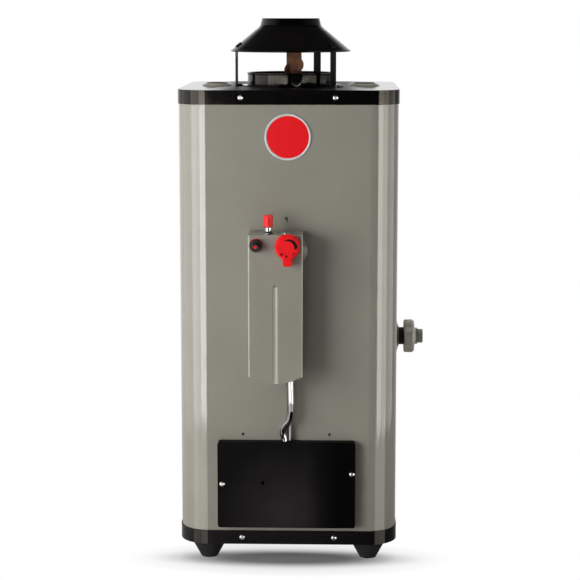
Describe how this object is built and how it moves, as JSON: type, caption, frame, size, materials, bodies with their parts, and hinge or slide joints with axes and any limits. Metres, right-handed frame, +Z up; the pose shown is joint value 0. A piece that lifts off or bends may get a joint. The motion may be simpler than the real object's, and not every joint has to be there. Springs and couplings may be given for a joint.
{
  "type": "gas water heater",
  "caption": "Floor-standing flow-through gas water heater: square grey jacket, black top and base, front gas control with a red dial, side drain, flue collar under a rain cap.",
  "frame": {"origin": "on the floor, under the middle of the whole outline, drain, igniter and rear screws included", "axes": "+Z up, the front faces -Y, the drain points along +X"},
  "size_m": [0.3658, 0.3958, 0.8015],
  "materials": {
    "jacket_paint": "satin baked paint, warm grey",
    "black_enamel": "gloss black enamel",
    "zinc_plate": "bright zinc plate",
    "badge_enamel": "red enamel with a bare metal rim",
    "rusty_steel": "rust-brown scale",
    "vessel_steel": "mill finish steel",
    "heat_steel": "heat-darkened steel",
    "pipe_steel": "dark pipe steel",
    "wool": "glass-fibre wool",
    "pipe_plastic": "moulded white plastic",
    "drain_plastic": "dark grey moulded plastic",
    "cast_aluminium": "die-cast aluminium",
    "bright_tube": "bright drawn aluminium",
    "brass": "turned brass",
    "copper_lead": "copper capillary",
    "lead_rubber": "black silicone lead",
    "ceramic": "glazed white ceramic",
    "red_plastic": "gloss red moulded plastic",
    "spindle_steel": "ground steel",
    "chrome": "bright chrome",
    "black_plastic": "black moulded plastic"
  },
  "bodies": {
    "casing": {"jacket": "jacket_paint", "control_cover": "jacket_paint", "rosette_thermostat": "jacket_paint", "rosette_drain": "jacket_paint", "rosette_hot": "jacket_paint", "rosette_cold": "jacket_paint", "top_cover": "black_enamel", "base_tray": "black_enamel", "foot_front_left": "black_enamel", "foot_front_right": "black_enamel", "foot_back_left": "black_enamel", "foot_back_right": "black_enamel", "access_panel": "black_enamel", "flue_collar": "black_enamel", "rain_cap": "black_enamel", "cap_strap_left": "black_enamel", "cap_strap_front": "black_enamel", "cap_strap_rear": "black_enamel", "drain_nipple": "black_enamel", "casing_screws": "zinc_plate", "strap_screws": "zinc_plate", "foot_bolts": "zinc_plate", "drain_clip": "zinc_plate", "badge": "badge_enamel", "flue_baffle": "rusty_steel", "vessel_shell": "vessel_steel", "vessel_top": "vessel_steel", "vessel_bottom": "vessel_steel", "venturi": "vessel_steel", "burner_bowl": "vessel_steel", "pilot_burner": "vessel_steel", "flue_tube": "heat_steel", "heat_tubes": "heat_steel", "combustion_chamber": "heat_steel", "burner_cap": "heat_steel", "cold_coupling": "pipe_steel", "hot_coupling": "pipe_steel", "insulation": "wool", "dip_tube": "pipe_plastic", "thermostat_body": "cast_aluminium", "burner_tube": "bright_tube", "pilot_tube": "bright_tube", "sensing_rod": "brass", "tube_nuts": "brass", "burner_jet": "brass", "thermocouple": "copper_lead", "ignition_lead": "lead_rubber", "spark_electrode": "ceramic", "igniter_washer": "red_plastic", "pilot_spring": "spindle_steel", "pilot_bush": "chrome", "igniter_barrel": "black_plastic", "igniter_nut": "black_plastic"},
    "dial": {"control_knob": "red_plastic", "knob_spindle": "spindle_steel"},
    "pilot_button": {"pilot_cap": "red_plastic", "pilot_stem": "spindle_steel"},
    "igniter_button": {"igniter_plunger": "black_plastic"},
    "drain_wheel": {"drain_handwheel": "drain_plastic"}
  },
  "joints": [
    {"name": "dial_turn", "type": "hinge", "parent": "casing", "child": "dial", "pos_m": [-0.02055, -0.17785, 0.4825], "axis": [0, 1, 0], "range_deg": [0, 240]},
    {"name": "pilot_press", "type": "slide", "parent": "casing", "child": "pilot_button", "axis": [0, 0, -1], "range_m": [0, 0.0055], "stiffness_N_per_m": 600, "springref_m": -0.002, "deforming": ["pilot_spring"]},
    {"name": "igniter_press", "type": "slide", "parent": "casing", "child": "igniter_button", "axis": [0, 1, 0], "range_m": [0, 0.006], "stiffness_N_per_m": 800, "springref_m": -0.002},
    {"name": "drain_turn", "type": "hinge", "parent": "casing", "child": "drain_wheel", "pos_m": [0.16345, 0.03415, 0.313], "axis": [1, 0, 0], "range_deg": [0, 360]}
  ]
}
